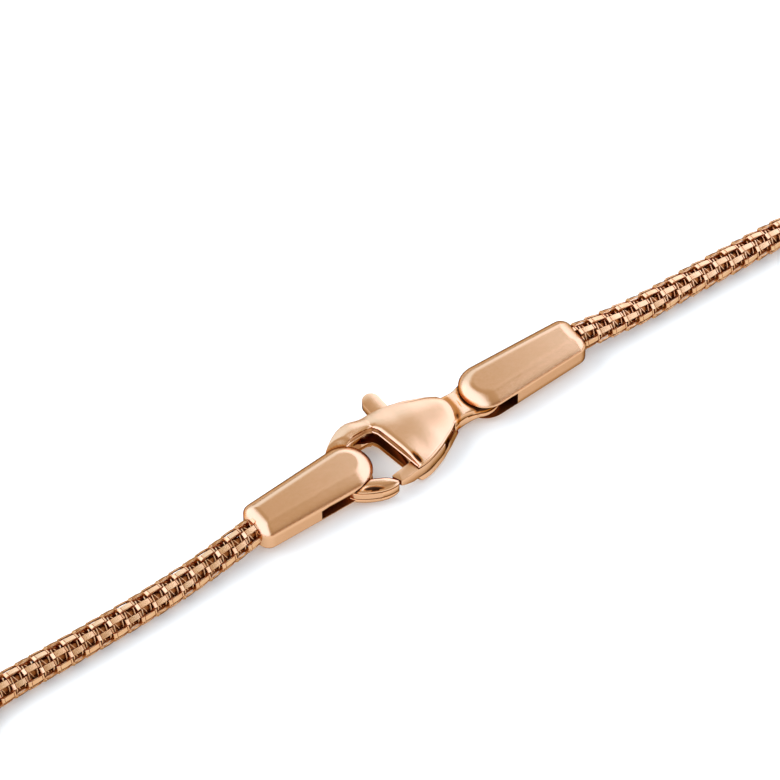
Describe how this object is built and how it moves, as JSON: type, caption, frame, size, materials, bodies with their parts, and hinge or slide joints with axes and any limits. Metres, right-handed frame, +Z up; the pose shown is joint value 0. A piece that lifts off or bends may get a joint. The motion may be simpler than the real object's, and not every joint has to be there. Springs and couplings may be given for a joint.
{
  "type": "mesh bracelet",
  "caption": "Rose gold bracelet of woven metal tube, closed by two rounded end caps and a claw clasp with a thumb lever.",
  "frame": {"origin": "middle of the bracelet's outline, on the surface that it lies on", "axes": "+X along the clasp towards the right cap, +Y from the loop's far end towards the clasp, +Z up"},
  "size_m": [0.0804, 0.0436, 0.0027],
  "materials": {
    "rose_gold": "polished",
    "woven_metal": "polished weave",
    "pin_metal": "polished"
  },
  "bodies": {
    "bracelet": {"mesh_tube": "woven_metal", "left_cap": "rose_gold", "right_cap": "rose_gold", "left_post": "pin_metal", "right_post": "pin_metal", "clasp_body": "rose_gold", "lever_pin": "pin_metal"},
    "lever": {"clasp_lever": "rose_gold"}
  },
  "joints": [
    {"name": "lever_hinge", "type": "hinge", "parent": "bracelet", "child": "lever", "pos_m": [-0.00048, 0.01654, 0.00128], "axis": [0, 0, -1], "range_deg": [0, 20], "stiffness_Nm_per_rad": 0.0001}
  ]
}
